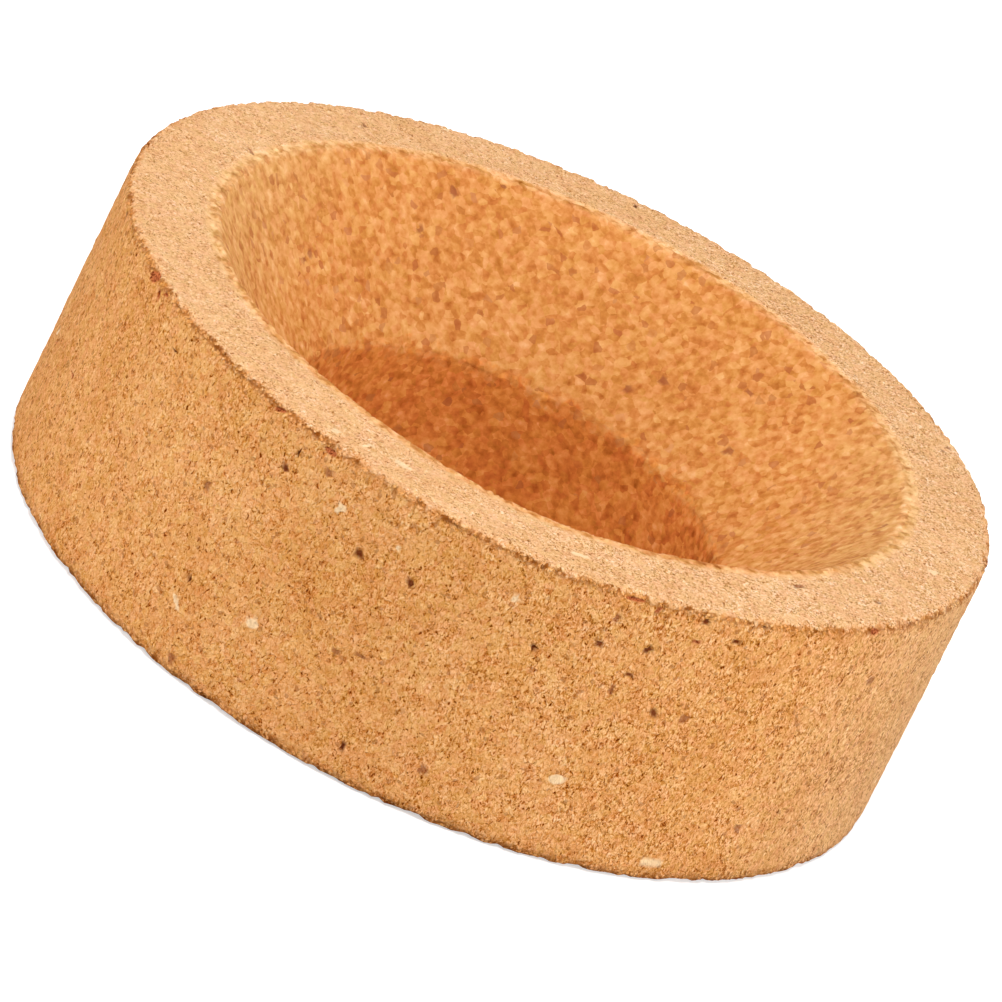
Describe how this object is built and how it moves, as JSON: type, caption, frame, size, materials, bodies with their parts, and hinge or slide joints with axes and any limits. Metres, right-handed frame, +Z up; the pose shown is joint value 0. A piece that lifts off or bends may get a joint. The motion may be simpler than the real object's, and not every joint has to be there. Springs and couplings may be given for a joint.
{
  "type": "cork ring",
  "caption": "Cork stand for a round-bottom flask: a flat-topped ring with a conical seat that narrows to a straight through bore.",
  "frame": {"origin": "on the ring's axis, in the plane of its flat underside", "axes": "+Z up along the ring's axis, out of the seat; X and Y lie in the underside, and the ring is the same all round"},
  "size_m": [0.11, 0.11, 0.035],
  "materials": {
    "cork": "matt, fine agglomerated cork, sanded"
  },
  "bodies": {
    "root": {"cork_ring": "cork"}
  },
  "joints": []
}
